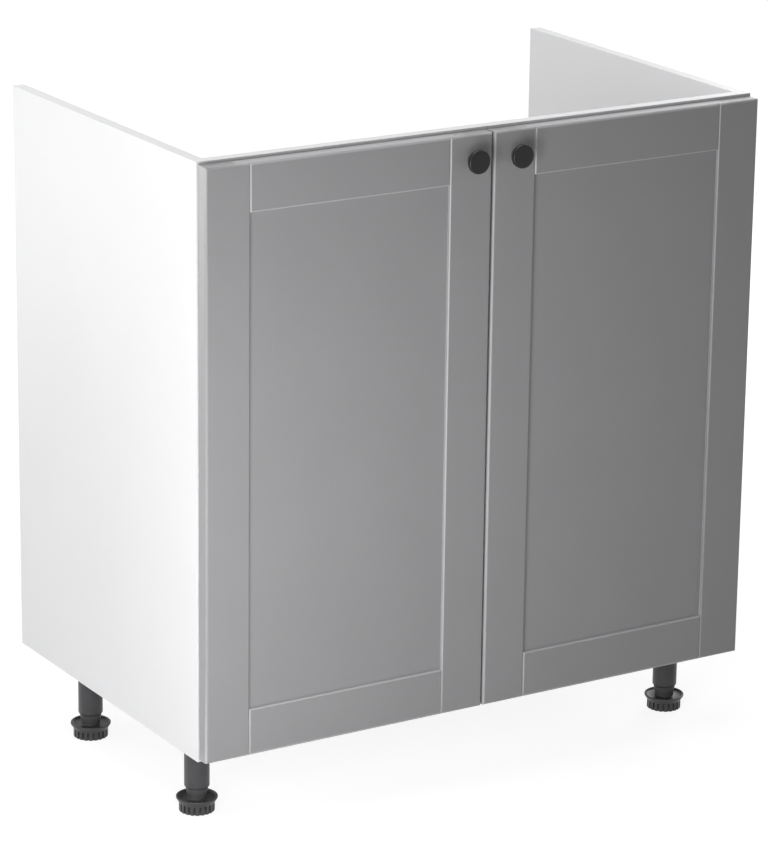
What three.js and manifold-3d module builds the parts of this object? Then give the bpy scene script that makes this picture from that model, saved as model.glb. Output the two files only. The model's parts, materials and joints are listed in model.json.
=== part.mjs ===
// Sink base cabinet with two frame doors on concealed cup hinges and four adjustable legs.
// Millimetres, +Z up. The front faces -Y and the feet stand on z = 0.
// The origin lies on the floor, under the middle of the overall box.

import * as THREE from "three";
import { mergeVertices } from "three/addons/utils/BufferGeometryUtils.js";
import Module from "manifold-3d";

const wasm = await Module();
wasm.setup();

// ---- Carcass ----
const cabinetWidth = 800;
const carcassHeight = 750;
const carcassDepth = 480;
const boardThickness = 16;
const railHeight = 100;
const rearRailDrop = 220; // from the carcass top down to the rear rail
const boardGap = 0.1; // left where one board butts against another

// ---- Doors ----
const doorThickness = 18;
const doorBackGap = 2;
const doorSideReveal = 1.5;
const doorEndReveal = 3.5;
const doorMeetingGap = 3;
const frameWidth = 60;
const doorEdgeRadius = 3;
const doorEdgeSteps = 4;
const jointBevel = 1.5;
const recessDepth = 5;
const panelThickness = 8;
const grooveDepth = 10;
const grooveFit = 0.1;
const tongueEndGap = 0.3;
const tongueRoot = 2; // how far a tongue runs into its rail

// ---- Knobs ----
const knobInset = 30; // from the meeting edge and from the top edge of the door
const knobDiameter = 30;
const knobProjection = 20;
const knobFootDiameter = 12;
const knobFootHeight = 1.5;
const knobNeckDiameter = 9.4;
const knobDiscThickness = 8;
const knobDiscBevel = 2.4; // on the back of the disc
const knobEdgeRadius = 1.2;
const knobScrewDiameter = 4;
const knobScrewEngagement = 10;
const knobScrewHead = 7;
const knobScrewHeadHeight = 2.2;
const knobScrewHeadRoom = 0.5; // round the head in its bore
const knobScrewSink = 2.4; // the head is sunk below the back of the door
const knobScrewBevel = 0.7;

// ---- Concealed hinges, in plan from the outer front corner of the carcass ----
const hingeFromDoorBottom = 100;
const hingeFromDoorTop = 125; // clears the front rail behind the door
const cupDiameter = 35;
const cupEdgeDistance = 5;
const cupDepth = 11.5;
const cupBoreDepth = 12;
const cupFit = 0.1;
const flangeThickness = 1.2;
const flangeDiameter = 36.4;
const earOffset = 9.5;
const earWidth = 13;
const cupScrewSpacing = 45;
const cupScrewDepth = 12.8;
const pocketLength = 28.8;
const pocketWidth = 12.8;
const pocketDepth = 10.3;
const longLeverArmPin = [40, 14.4];
const longLeverCupPin = [12, -4.2];
const shortLeverArmPin = [32, -5.65];
const shortLeverCupPin = [14.8, -7.2];
const longLeverBends = [[21.3, 1.5], [17.5, -6.3]];
const shortLeverBends = [[22.3, -10.3]];
const leverWidth = 3;
const longLeverHalfThickness = 1.7;
const cheekInner = 2;
const cheekOuter = 4;
const plateLeverInner = 4.3;
const plateLeverOuter = 6;
const pinRadius = 1.2;
const armPinRadius = 1.5;
const pinClearance = 0.3;
const openPivotClearance = 1.5;
const eyeWall = 1.3;
const cupEyeWall = 0.7;
const lugWall = 0.9;
const lugRoot = 1; // how far a lug runs into the wall of the cup
const studGap = 0.2; // between the lugs and the studs beside them

// ---- Hinge arm and mounting plate ----
const plateScrewSetback = 37;
const plateScrewSpacing = 32;
const plateFront = 22;
const plateRear = 62;
const plateBase = 2.5;
const plateWingLength = 48;
const plateWingWidth = 12;
const ridgeHeight = 9;
const ridgeWidth = 12.8;
const ridgeSetback = 2;
const ridgeSideStep = 0.4;
const armLift = 0.2; // of the arm above its plate
const armRear = 62;
const armWidth = 16;
const armWall = 1.4;
const armHeight = 14;
const armBlockFront = 15.5;
const armBlockRear = 20;
const armBlockStep = 4; // from the foot of the arm up to its solid front
const cheekRoundShortPin = [[-4, 9.65], [-2.8, 0], [-1.6, -2.4], [1.2, -2.6], [2.9, -0.4]];
const cheekRoundLongPin = [[-3.4, -12.4], [2.8, -2.6], [3, 1.4], [0.6, 3]];

// ---- Legs ----
const legHeight = 100;
const legSideInset = 43;
const legFrontInset = 80;
const legRearInset = 112;
const socketDiameter = 64;
const socketThickness = 3.5;
const socketBevel = 1;
const spigotDiameter = 25.6;
const spigotLength = 26;
const spigotWall = 2.2;
const spigotBlind = 1.5; // thickness left above the hollow of the spigot
const tubeDiameter = 32;
const tubeChamfer = 1.7;
const tubeChamferHeight = 2.2;
const tubeUpperBore = 26;
const tubeLowerBore = 22.4;
const tubeBoreStep = 66;
const tubeBoreSlope = 1.5;
const footDiameter = 45;
const footRingHeight = 11.5;
const footRootStep = 0.3;
const footFlangeDiameter = 52.4;
const footFlareHeight = 5.5; // from the grip ring up to the full width of the flange
const footRimHeight = 2;
const footRimBevel = 0.6;
const footRimWidth = 1.6;
const footDishDepth = 2.5;
const footDishSlope = 3.4;
const footRibCount = 20;
const footSlotWidth = 3;
const footSlotDepth = 1.8;
const footSlotDraft = 0.1; // share of a slot's width taken by each sloping side
const hubBottomDiameter = 24;
const hubTopDiameter = 28.6;
const hubTop = 31;
const hubGap = 0.2; // between the hub and the end of the tube
const stemDiameter = 22;
const stemTop = 62;
const legScrewCircle = 48;
const legScrewCount = 4;

// ---- Fittings ----
const bottomCamInset = 36; // from the front and rear edges of the bottom panel
const dowelDiameter = 8;
const dowelLength = 30;
const dowelInSide = 10;
const dowelSpacing = 32;
const bottomDowelReach = 96;
const camDiameter = 15;
const camHeight = 12.8;
const camBackset = 34;
const camFit = 0.1;
const camBoltBore = 8;
const camCrossLength = 5;
const camCrossWidth = 1;
const camCrossDepth = 2;
const boltThreadDiameter = 5;
const boltThreadLength = 10;
const screwDiameter = 4;
const screwLength = 15;
const screwFit = 0.1;
const boreEndRoom = 0.5; // left beyond the end of a dowel, bolt or screw

// ---- Modelling ----
const overcut = 1; // how far a cutter reaches past the face it opens
const runIn = 0.5; // how far parts of one piece reach into each other
const roundSides = 24;
const mediumSides = 20;
const camSides = 12;
const smallSides = 8;
const edgeSteps = 3; // of a rounded edge in a turned profile
const mergeDistance = 1e-4;

// ---- Derived places ----
const frontOverhang = knobProjection + doorThickness + doorBackGap;
const carcassFront = (frontOverhang - carcassDepth) / 2;
const carcassLeft = -cabinetWidth / 2;
const carcassBottom = legHeight;
const carcassTop = legHeight + carcassHeight;
const doorWidth = (cabinetWidth - doorMeetingGap) / 2 - doorSideReveal;
const doorHeight = carcassHeight - 2 * doorEndReveal;
const doorLeft = carcassLeft + doorSideReveal;
const doorFront = carcassFront - doorBackGap - doorThickness;
const doorBottom = carcassBottom + doorEndReveal;
const cupCentre = doorSideReveal + cupEdgeDistance + cupDiameter / 2;
const spanBetweenSides = cabinetWidth - 2 * boardThickness - 2 * boardGap;

// ---- Materials ----
function finish(color, roughness, metalness) {
  return new THREE.MeshStandardMaterial({ color, roughness, metalness });
}
const whiteBoard = finish(0xefeff0, 0.55, 0);
const greyDoor = finish(0x87868a, 0.5, 0);
const blackKnob = finish(0x1b1a1c, 0.35, 0.3);
const platedSteel = finish(0xb9babc, 0.3, 0.9);
const darkPlastic = finish(0x2b2a2c, 0.5, 0);
const zincAlloy = finish(0x9fa0a2, 0.4, 0.8);

// ---- Solids ----
function closed(geometry) {
  const bare = geometry.clone();
  bare.deleteAttribute("normal");
  bare.deleteAttribute("uv");
  const merged = mergeVertices(bare, mergeDistance);
  const index = [];
  let volume = 0;
  for (let i = 0; i < merged.index.count; i += 3) {
    const corners = [0, 1, 2].map((k) => merged.index.getX(i + k));
    if (new Set(corners).size < 3) continue;
    index.push(...corners);
    const [a, b, c] = corners.map((k) => {
      return new THREE.Vector3().fromBufferAttribute(merged.attributes.position, k);
    });
    volume += a.dot(b.cross(c));
  }
  merged.setIndex(volume < 0 ? index.reverse() : index);
  return merged;
}

function solidOf(geometry) {
  const merged = closed(geometry);
  const vertProperties = Float32Array.from(merged.attributes.position.array);
  const triVerts = Uint32Array.from(merged.index.array);
  return new wasm.Manifold(new wasm.Mesh({ numProp: 3, vertProperties, triVerts }));
}

function geometryOf(solid) {
  const mesh = solid.getMesh();
  const positions = Float32Array.from(mesh.vertProperties);
  const corners = Uint32Array.from(mesh.triVerts);
  const geometry = new THREE.BufferGeometry();
  geometry.setAttribute("position", new THREE.BufferAttribute(positions, 3));
  geometry.setIndex(new THREE.BufferAttribute(corners, 1));
  return geometry;
}

function joined(...geometries) {
  return geometryOf(geometries.map(solidOf).reduce((all, next) => all.add(next)));
}

function cut(body, tools) {
  return geometryOf(tools.map(solidOf).reduce((rest, tool) => rest.subtract(tool), solidOf(body)));
}

function common(first, second) {
  return geometryOf(solidOf(first).intersect(solidOf(second)));
}

function mirrored(geometry) {
  return closed(geometry.clone().scale(-1, 1, 1));
}

// A box between two corners.
function block([x0, x1], [y0, y1], [z0, z1]) {
  const box = new THREE.BoxGeometry(x1 - x0, y1 - y0, z1 - z0);
  return box.translate((x0 + x1) / 2, (y0 + y1) / 2, (z0 + z1) / 2);
}

// A flat outline in x and y, raised from z0 to z1.
function raised(outline, z0, z1) {
  const shape = new THREE.Shape(outline.map(([x, y]) => new THREE.Vector2(x, y)));
  const options = { depth: z1 - z0, bevelEnabled: false };
  return new THREE.ExtrudeGeometry(shape, options).translate(0, 0, z0);
}

// The same outline and its copy below the middle plane, for parts that come in two equal plates.
function twoPlates(outline, inner, outer) {
  return [raised(outline, inner, outer), raised(outline, -outer, -inner)];
}

// An outline in y and z, run along x.
const alongXBasis = new THREE.Matrix4().makeBasis(
  new THREE.Vector3(0, 1, 0),
  new THREE.Vector3(0, 0, 1),
  new THREE.Vector3(1, 0, 0),
);
function alongX(outline, x0, x1) {
  return raised(outline, x0, x1).applyMatrix4(alongXBasis);
}

// A profile of [radius, height] points turned round the z axis.
function turned(profile, sides) {
  const points = profile.map(([r, z]) => new THREE.Vector2(r, z));
  return new THREE.LatheGeometry(points, sides).rotateX(Math.PI / 2);
}

// Points of a rounded outer edge of a turned profile, from its side to its flat top.
function roundedEdge(radius, top, round) {
  return Array.from({ length: edgeSteps + 1 }, (_, i) => {
    const angle = (i * Math.PI) / (2 * edgeSteps);
    return [radius - round + round * Math.cos(angle), top - round + round * Math.sin(angle)];
  });
}

function rodZ(diameter, z0, z1, sides) {
  return turned([[0, z0], [diameter / 2, z0], [diameter / 2, z1], [0, z1]], sides);
}

function rodX(diameter, x0, x1, sides) {
  return rodZ(diameter, x0, x1, sides).rotateY(Math.PI / 2);
}

function rodY(diameter, y0, y1, sides) {
  return rodZ(diameter, -y1, -y0, sides).rotateX(Math.PI / 2);
}

// A disc in plan with its axis upright, for eyes and pins of the hinge.
function pinAt([x, y], radius, z0, z1) {
  return rodZ(2 * radius, z0, z1, smallSides).translate(x, y, 0);
}

// ---- The cabinet and its pieces ----
const cabinet = new THREE.Group();

function add(name, geometry, material, x = 0, y = 0, z = 0) {
  const shown = geometry.index ? geometry.toNonIndexed() : geometry.clone();
  shown.computeVertexNormals();
  const mesh = new THREE.Mesh(shown, material);
  mesh.name = name;
  mesh.position.set(x, y, z);
  cabinet.add(mesh);
}

// The left piece and its mirror image on the right; # in the name becomes the side.
function addPair(name, geometry, material, x, y, z) {
  add(name.replace("#", "left"), geometry, material, x, y, z);
  add(name.replace("#", "right"), mirrored(geometry), material, -x, y, z);
}

// ---- Fittings that join the boards ----
// Each joint lies at one end of a cross board: its height, the middle of the board in y,
// and the direction in which the cams and dowels are spread over the board.
const bottomCamReach = carcassDepth / 2 - bottomCamInset;
const crossBoards = [
  {
    name: "bottom",
    y: carcassFront + carcassDepth / 2,
    z: carcassBottom + boardThickness / 2,
    spread: "y",
    cams: [-bottomCamReach, bottomCamReach],
    dowels: [-bottomDowelReach, 0, bottomDowelReach],
    camSide: -1,
  },
  {
    name: "front",
    y: carcassFront + boardThickness / 2,
    z: carcassTop - railHeight / 2,
    spread: "z",
    cams: [0],
    dowels: [-dowelSpacing, dowelSpacing],
    camSide: 1,
  },
  {
    name: "rear",
    y: carcassFront + carcassDepth - boardThickness / 2,
    z: carcassTop - rearRailDrop - railHeight / 2,
    spread: "z",
    cams: [0],
    dowels: [-dowelSpacing, dowelSpacing],
    camSide: -1,
  },
];

// Fittings are drawn for the left end with x counted from the inner face of the side panel.
function fittingPlaces(board, offsets) {
  return offsets.map((offset) => ({
    y: board.y + (board.spread === "y" ? offset : 0),
    z: board.z + (board.spread === "z" ? offset : 0),
  }));
}

const camFace = boardThickness / 2;

// A cam housing as an upright cylinder that opens on the camSide face of its board.
function camCylinder(board, diameter, depth) {
  const side = board.camSide;
  const from = side < 0 ? -camFace : camFace - depth;
  const to = side < 0 ? -camFace + depth : camFace;
  return board.spread === "y" ? rodZ(diameter, from, to, camSides) : rodY(diameter, from, to, camSides);
}

function endBores(board) {
  const bores = [];
  for (const { y, z } of fittingPlaces(board, board.dowels)) {
    const depth = dowelLength - dowelInSide + boreEndRoom;
    bores.push(rodX(dowelDiameter, -overcut, depth, smallSides).translate(0, y, z));
  }
  for (const { y, z } of fittingPlaces(board, board.cams)) {
    const camDepth = camHeight + camFit + boreEndRoom;
    bores.push(rodX(camBoltBore, -overcut, camBackset, smallSides).translate(0, y, z));
    bores.push(camCylinder(board, camDiameter, camDepth).translate(camBackset, y, z));
  }
  return bores;
}

const innerFace = carcassLeft + boardThickness;

function crossBoard(name, board, ySize, zSize) {
  const body = new THREE.BoxGeometry(spanBetweenSides, ySize, zSize).translate(0, board.y, board.z);
  const left = endBores(board).map((bore) => bore.translate(innerFace, 0, 0));
  const right = left.map((bore) => mirrored(bore));
  return { name, board, body, bores: [...left, ...right] };
}

const bottomBoard = crossBoard("bottom_panel", crossBoards[0], carcassDepth, boardThickness);
const rails = [
  crossBoard("front_top_rail", crossBoards[1], boardThickness, railHeight),
  crossBoard("rear_rail", crossBoards[2], boardThickness, railHeight),
];

const legX = carcassLeft + legSideInset;
const legFrontY = carcassFront + legFrontInset;
const legRearY = carcassFront + carcassDepth - legRearInset;
const legPlaces = [
  { name: "front_left", x: legX, y: legFrontY },
  { name: "front_right", x: -legX, y: legFrontY },
  { name: "rear_left", x: legX, y: legRearY },
  { name: "rear_right", x: -legX, y: legRearY },
];

const screwHole = screwDiameter + 2 * screwFit;

// Upright holes for the screws of one leg, spread round its axis.
function legScrewHoles(z0, z1) {
  const radius = legScrewCircle / 2;
  return Array.from({ length: legScrewCount }, (_, k) => {
    const angle = ((2 * k + 1) * Math.PI) / legScrewCount;
    const hole = rodZ(screwHole, z0, z1, smallSides);
    return hole.translate(radius * Math.cos(angle), radius * Math.sin(angle), 0);
  });
}

function addCarcass() {
  const legBoreTop = carcassBottom + screwLength - socketThickness;
  const legBores = legPlaces.flatMap(({ x, y }) => {
    const holes = legScrewHoles(carcassBottom - overcut, legBoreTop);
    return holes.map((hole) => hole.translate(x, y, 0));
  });
  const bottomBores = [...bottomBoard.bores, ...legBores];
  add(bottomBoard.name, cut(bottomBoard.body, bottomBores), whiteBoard);
  for (const rail of rails) {
    add(rail.name, cut(rail.body, rail.bores), whiteBoard);
  }

  const side = block([0, boardThickness], [0, carcassDepth], [0, carcassHeight]);
  const holes = [];
  const drill = (diameter, depth, { y, z }) => {
    const hole = rodX(diameter, boardThickness - depth, boardThickness + overcut, smallSides);
    holes.push(hole.translate(0, y - carcassFront, z - carcassBottom));
  };
  for (const board of crossBoards) {
    for (const place of fittingPlaces(board, board.dowels)) {
      drill(dowelDiameter, dowelInSide + boreEndRoom, place);
    }
    for (const place of fittingPlaces(board, board.cams)) {
      drill(boltThreadDiameter + 2 * screwFit, boltThreadLength + boreEndRoom, place);
    }
  }
  for (const place of plateScrewPlaces()) {
    drill(screwHole, screwLength - plateBase, place);
  }
  addPair("side_panel_#", cut(side, holes), whiteBoard, carcassLeft, carcassFront, carcassBottom);
}

function camLock(board) {
  const housing = camCylinder(board, camDiameter - 2 * camFit, camHeight);
  const slot = rodX(camBoltBore, -camDiameter, camCrossDepth, smallSides);
  const face = board.camSide * camFace;
  const deep = [face - camCrossDepth, face + camCrossDepth];
  const arms = [[camCrossLength, camCrossWidth], [camCrossWidth, camCrossLength]];
  const crossed = arms.map(([across, along]) => {
    const x = [-across, across];
    const wide = [-along, along];
    return board.spread === "y" ? block(x, wide, deep) : block(x, deep, wide);
  });
  return cut(housing, [slot, ...crossed]);
}

function addCamLocks() {
  for (const board of crossBoards) {
    const lock = camLock(board);
    fittingPlaces(board, board.cams).forEach(({ y, z }, i) => {
      const which = board.cams.length > 1 ? ["_front", "_rear"][i] : "";
      addPair(`cam_lock_${board.name}${which}_#`, lock, zincAlloy, innerFace + camBackset, y, z);
    });
  }
}

// ---- Doors: frame of two stiles and two rails round a loose panel ----
const knobX = doorWidth - knobInset;
const knobZ = doorHeight - knobInset;
const hingeHeights = [hingeFromDoorBottom, doorHeight - hingeFromDoorTop];
const grooveBack = recessDepth + panelThickness + 2 * grooveFit;
const tongueY = [recessDepth + grooveFit, recessDepth + grooveFit + panelThickness];

// A slab of the door's size with its front edges rounded. Every frame piece is trimmed by it.
function roundedDoor() {
  const r = doorEdgeRadius;
  const outline = [[r, r], [doorWidth - r, r], [doorWidth - r, doorHeight - r], [r, doorHeight - r]];
  const shape = new THREE.Shape(outline.map(([x, z]) => new THREE.Vector2(x, z)));
  const bevel = { bevelEnabled: true, bevelThickness: r, bevelSize: r, bevelSegments: doorEdgeSteps };
  const slab = new THREE.ExtrudeGeometry(shape, { depth: doorThickness, ...bevel });
  return slab.rotateX(Math.PI / 2).translate(0, doorThickness + r, 0);
}

// Section of a frame piece: its width runs from the outer edge at 0 to the grooved inner edge.
function frameSection() {
  return [
    [0, 0],
    [frameWidth - jointBevel, 0],
    [frameWidth, jointBevel],
    [frameWidth, recessDepth],
    [frameWidth - grooveDepth, recessDepth],
    [frameWidth - grooveDepth, grooveBack],
    [frameWidth, grooveBack],
    [frameWidth, doorThickness],
    [0, doorThickness],
  ];
}

function doorRail(envelope) {
  const x0 = frameWidth + boardGap;
  const x1 = doorWidth - frameWidth - boardGap;
  const section = frameSection().map(([width, y]) => [y, width]);
  const body = alongX(section.reverse(), x0, x1);
  const bevelledEnds = [
    [x0, jointBevel],
    [x0 + jointBevel, 0],
    [x1 - jointBevel, 0],
    [x1, jointBevel],
    [x1, doorThickness],
    [x0, doorThickness],
  ];
  const trimmed = common(body, raised(bevelledEnds, 0, frameWidth));
  const reach = grooveDepth - tongueEndGap + boardGap;
  const tongueSpans = [[x0 - reach, x0 + tongueRoot], [x1 - tongueRoot, x1 + reach]];
  const tongues = tongueSpans.map((x) => block(x, tongueY, [0, frameWidth - grooveDepth]));
  return common(joined(trimmed, ...tongues), envelope);
}

// Bores in the back of the door, from a depth measured there.
function backBore(diameter, depth, x, z, sides) {
  const from = doorThickness - depth;
  return rodY(diameter, from, doorThickness + overcut, sides).translate(x, 0, z);
}

function cupBores() {
  const cupX = cupCentre - doorSideReveal;
  const screwReach = cupScrewSpacing / 2;
  return hingeHeights.flatMap((z) => [
    backBore(cupDiameter, cupBoreDepth, cupX, z, roundSides),
    backBore(screwHole, cupScrewDepth, cupX + earOffset, z - screwReach, smallSides),
    backBore(screwHole, cupScrewDepth, cupX + earOffset, z + screwReach, smallSides),
  ]);
}

function knobBores() {
  const shank = knobScrewDiameter + 2 * screwFit;
  const head = knobScrewHead + 2 * knobScrewHeadRoom;
  return [
    backBore(shank, doorThickness + overcut, knobX, knobZ, smallSides),
    backBore(head, knobScrewSink, knobX, knobZ, smallSides),
  ];
}

function addDoors() {
  const envelope = roundedDoor();
  const stile = raised(frameSection(), 0, doorHeight);
  const meetingStile = mirrored(stile).translate(doorWidth, 0, 0);
  const bottomRail = doorRail(envelope);
  const topRail = common(flippedUp(bottomRail), envelope);
  const reach = frameWidth - grooveDepth + tongueEndGap;
  const panel = block([reach, doorWidth - reach], tongueY, [reach, doorHeight - reach]);
  const pieces = [
    ["hinge_stile", cut(common(stile, envelope), cupBores())],
    ["meeting_stile", cut(common(meetingStile, envelope), knobBores())],
    ["bottom_rail", bottomRail],
    ["top_rail", topRail],
    ["panel", panel],
  ];
  for (const [name, geometry] of pieces) {
    addPair(`door_#_${name}`, geometry, greyDoor, doorLeft, doorFront, doorBottom);
  }
}

// Turns a door piece upside down within the height of the door.
function flippedUp(geometry) {
  return closed(geometry.clone().scale(1, 1, -1)).translate(0, 0, doorHeight);
}

// A flat disc with a bevelled back on a slim neck, bored from behind for its screw.
function knobShape() {
  const rim = knobDiameter / 2;
  const neck = knobNeckDiameter / 2;
  const discBack = knobProjection - knobDiscThickness;
  const bore = knobScrewDiameter / 2 + screwFit;
  const boreEnd = knobScrewEngagement + boreEndRoom;
  const profile = [
    [bore, 0],
    [knobFootDiameter / 2, 0],
    [knobFootDiameter / 2, knobFootHeight],
    [neck, 2 * knobFootHeight],
    [neck, discBack - knobDiscBevel],
    [rim - knobDiscBevel, discBack],
    [rim, discBack + knobDiscBevel],
    ...roundedEdge(rim, knobProjection, knobEdgeRadius),
    [0, knobProjection],
    [0, boreEnd],
    [bore, boreEnd],
    [bore, 0],
  ];
  return turned(profile, roundSides).rotateX(Math.PI / 2);
}

function knobScrewShape() {
  const shank = knobScrewDiameter / 2;
  const head = knobScrewHead / 2;
  const seat = knobScrewSink - doorThickness - screwFit;
  const top = seat - knobScrewHeadHeight;
  const profile = [
    [0, top],
    [head - knobScrewBevel, top],
    [head, top + knobScrewBevel],
    [head, seat],
    [shank, seat],
    [shank, knobScrewEngagement - knobScrewBevel],
    [shank - knobScrewBevel, knobScrewEngagement],
    [0, knobScrewEngagement],
  ];
  return turned(profile, smallSides).rotateX(Math.PI / 2);
}

function addKnobs() {
  const place = [doorLeft + knobX, doorFront, doorBottom + knobZ];
  addPair("knob_#", knobShape(), blackKnob, ...place);
  addPair("knob_screw_#", knobScrewShape(), platedSteel, ...place);
}

// ---- Concealed hinges ----
// Plan of each piece for a left hinge: x from the outer face of the carcass, y from its front.
const hingeLevels = hingeHeights.map((z) => doorBottom + z);
const hingeNames = ["lower", "upper"];
const doorBack = -doorBackGap;

function plateScrewPlaces() {
  const places = [];
  for (const z of hingeLevels) {
    for (const dz of [-plateScrewSpacing / 2, plateScrewSpacing / 2]) {
      places.push({ y: carcassFront + plateScrewSetback, z: z + dz });
    }
  }
  return places;
}

// A bar of even width along a bent line, with round ends.
function bentBar(points, width, z0, z1) {
  const half = width / 2;
  const parts = points.map((point) => pinAt(point, half, z0, z1));
  for (let i = 1; i < points.length; i += 1) {
    const [x0, y0] = points[i - 1];
    const [x1, y1] = points[i];
    const length = Math.hypot(x1 - x0, y1 - y0);
    const bar = block([0, length], [-half, half], [z0, z1]);
    parts.push(bar.rotateZ(Math.atan2(y1 - y0, x1 - x0)).translate(x0, y0, 0));
  }
  return joined(...parts);
}

function hingeCup() {
  const seat = doorBack + cupFit;
  const top = doorBack + flangeThickness;
  const rodAt = (diameter, y0, y1, sides, x, z) => rodY(diameter, y0, y1, sides).translate(x, 0, z);
  const shellDiameter = cupDiameter - 2 * cupFit;
  const shell = rodAt(shellDiameter, doorBack - cupDepth, seat + runIn, roundSides, cupCentre, 0);
  const rim = rodAt(flangeDiameter, seat, top, roundSides, cupCentre, 0);
  const ear = cupCentre + earOffset;
  const reach = cupScrewSpacing / 2;
  const bar = block([ear - earWidth / 2, ear + earWidth / 2], [seat, top], [-reach, reach]);
  const ends = [-reach, reach].map((z) => rodAt(earWidth, seat, top, mediumSides, ear, z));
  const holes = [-reach, reach].map((z) => {
    return rodAt(screwHole, seat - overcut, top + overcut, smallSides, ear, z);
  });
  const left = cupCentre - pocketLength / 2;
  const pocket = block(
    [left, left + pocketLength],
    [doorBack - pocketDepth, top + overcut],
    [-pocketWidth / 2, pocketWidth / 2],
  );
  const body = cut(joined(shell, rim, bar, ...ends), [pocket, ...holes]);
  const [cx, cy] = longLeverCupPin;
  const lugReach = pinRadius + lugWall;
  const lugs = [[cheekInner, cheekOuter], [-cheekOuter, -cheekInner]].flatMap((z) => [
    block([left - lugRoot, cx], [cy - lugReach, cy + lugReach], z),
    pinAt(longLeverCupPin, lugReach, ...z),
  ]);
  const pin = pinAt(longLeverCupPin, pinRadius, -cheekInner - runIn, cheekInner + runIn);
  const wall = pocketWidth / 2 + runIn;
  const studSpans = [[cheekOuter + studGap, wall], [-wall, -cheekOuter - studGap]];
  const studs = studSpans.map((z) => pinAt(shortLeverCupPin, pinRadius, ...z));
  return joined(body, ...lugs, pin, ...studs);
}

function longLever() {
  const t = longLeverHalfThickness;
  const path = [longLeverArmPin, ...longLeverBends, longLeverCupPin];
  const armHole = armPinRadius + pinClearance;
  const cupHole = pinRadius + pinClearance;
  const armEye = pinAt(longLeverArmPin, armHole + eyeWall, -t, t);
  const cupEye = pinAt(longLeverCupPin, cupHole + cupEyeWall, -t, t);
  const bar = joined(bentBar(path, leverWidth, -t, t), armEye, cupEye);
  const holes = [
    pinAt(longLeverArmPin, armHole, -t - overcut, t + overcut),
    pinAt(longLeverCupPin, cupHole, -t - overcut, t + overcut),
  ];
  return cut(bar, holes);
}

function shortLever() {
  const path = [shortLeverArmPin, ...shortLeverBends, shortLeverCupPin];
  const hole = pinRadius + openPivotClearance;
  const spans = [[plateLeverInner, plateLeverOuter], [-plateLeverOuter, -plateLeverInner]];
  const plates = spans.map(([z0, z1]) => {
    const armEye = pinAt(shortLeverArmPin, armPinRadius + eyeWall, z0, z1);
    const cupEye = pinAt(shortLeverCupPin, hole + cupEyeWall, z0, z1);
    const bar = joined(bentBar(path, leverWidth, z0, z1), armEye, cupEye);
    return cut(bar, [pinAt(shortLeverCupPin, hole, z0 - overcut, z1 + overcut)]);
  });
  const pinEnd = plateLeverInner + runIn;
  return joined(...plates, pinAt(shortLeverArmPin, pinRadius, -pinEnd, pinEnd));
}

// Corners given from a pin, as places in plan.
function around([x, y], corners) {
  return corners.map(([dx, dy]) => [x + dx, y + dy]);
}

function hingeArm() {
  const web = boardThickness + armHeight;
  const foot = boardThickness + plateBase + armLift;
  const blockFoot = foot + armBlockStep;
  const cheekOutline = [
    [blockFoot, armBlockFront],
    ...around(shortLeverArmPin, cheekRoundShortPin),
    ...around(longLeverArmPin, cheekRoundLongPin),
    [web, armBlockRear],
    [blockFoot, armBlockRear],
  ];
  const cheeks = twoPlates(cheekOutline, cheekInner, cheekOuter);
  const half = armWidth / 2;
  const nose = block([blockFoot, web], [armBlockFront, armBlockRear + runIn], [-half, half]);
  const channel = block([foot, web], [armBlockRear, armRear], [-half, half]);
  const hollow = block(
    [foot - overcut, web - armWall],
    [armBlockRear + armWall, armRear + overcut],
    [armWall - half, half - armWall],
  );
  const pinEnd = cheekInner + runIn;
  const armPin = pinAt(longLeverArmPin, armPinRadius, -pinEnd, pinEnd);
  const holeEnd = cheekOuter + overcut;
  const pinHole = pinAt(shortLeverArmPin, pinRadius + pinClearance, -holeEnd, holeEnd);
  return cut(joined(...cheeks, nose, channel, armPin), [pinHole, hollow]);
}

function mountingPlate() {
  const face = boardThickness + boardGap;
  const base = boardThickness + plateBase;
  const half = ridgeWidth / 2;
  const wingHalf = plateWingWidth / 2;
  const tipZ = plateWingLength / 2 - wingHalf;
  const foot = block([face, base], [plateFront, plateRear], [-half, half]);
  const wingY = [plateScrewSetback - wingHalf, plateScrewSetback + wingHalf];
  const wing = block([face, base], wingY, [-tipZ, tipZ]);
  const tips = [-tipZ, tipZ].map((z) => {
    return rodX(plateWingWidth, face, base, mediumSides).translate(0, plateScrewSetback, z);
  });
  const ridge = block(
    [face, base + ridgeHeight],
    [plateFront + ridgeSetback, plateRear - ridgeSetback],
    [ridgeSideStep - half, half - ridgeSideStep],
  );
  const screwZ = plateScrewSpacing / 2;
  const holes = [-screwZ, screwZ].map((z) => {
    const hole = rodX(screwHole, face - overcut, base + overcut, smallSides);
    return hole.translate(0, plateScrewSetback, z);
  });
  return cut(joined(foot, wing, ...tips, ridge), holes);
}

function addHinges() {
  const cup = hingeCup();
  const long = longLever();
  const short = shortLever();
  const arm = hingeArm();
  const plate = mountingPlate();
  hingeLevels.forEach((level, i) => {
    const place = [carcassLeft, carcassFront, level];
    const name = `hinge_#_${hingeNames[i]}`;
    addPair(`${name}_cup`, cup, platedSteel, ...place);
    addPair(`${name}_long_lever`, long, platedSteel, ...place);
    addPair(`${name}_short_lever`, short, platedSteel, ...place);
    addPair(`${name}_arm`, arm, platedSteel, ...place);
    addPair(`${name}_plate`, plate, platedSteel, ...place);
  });
}

// ---- Legs ----
const socketTop = carcassBottom - boardGap;
const socketUnder = socketTop - socketThickness;

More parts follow.
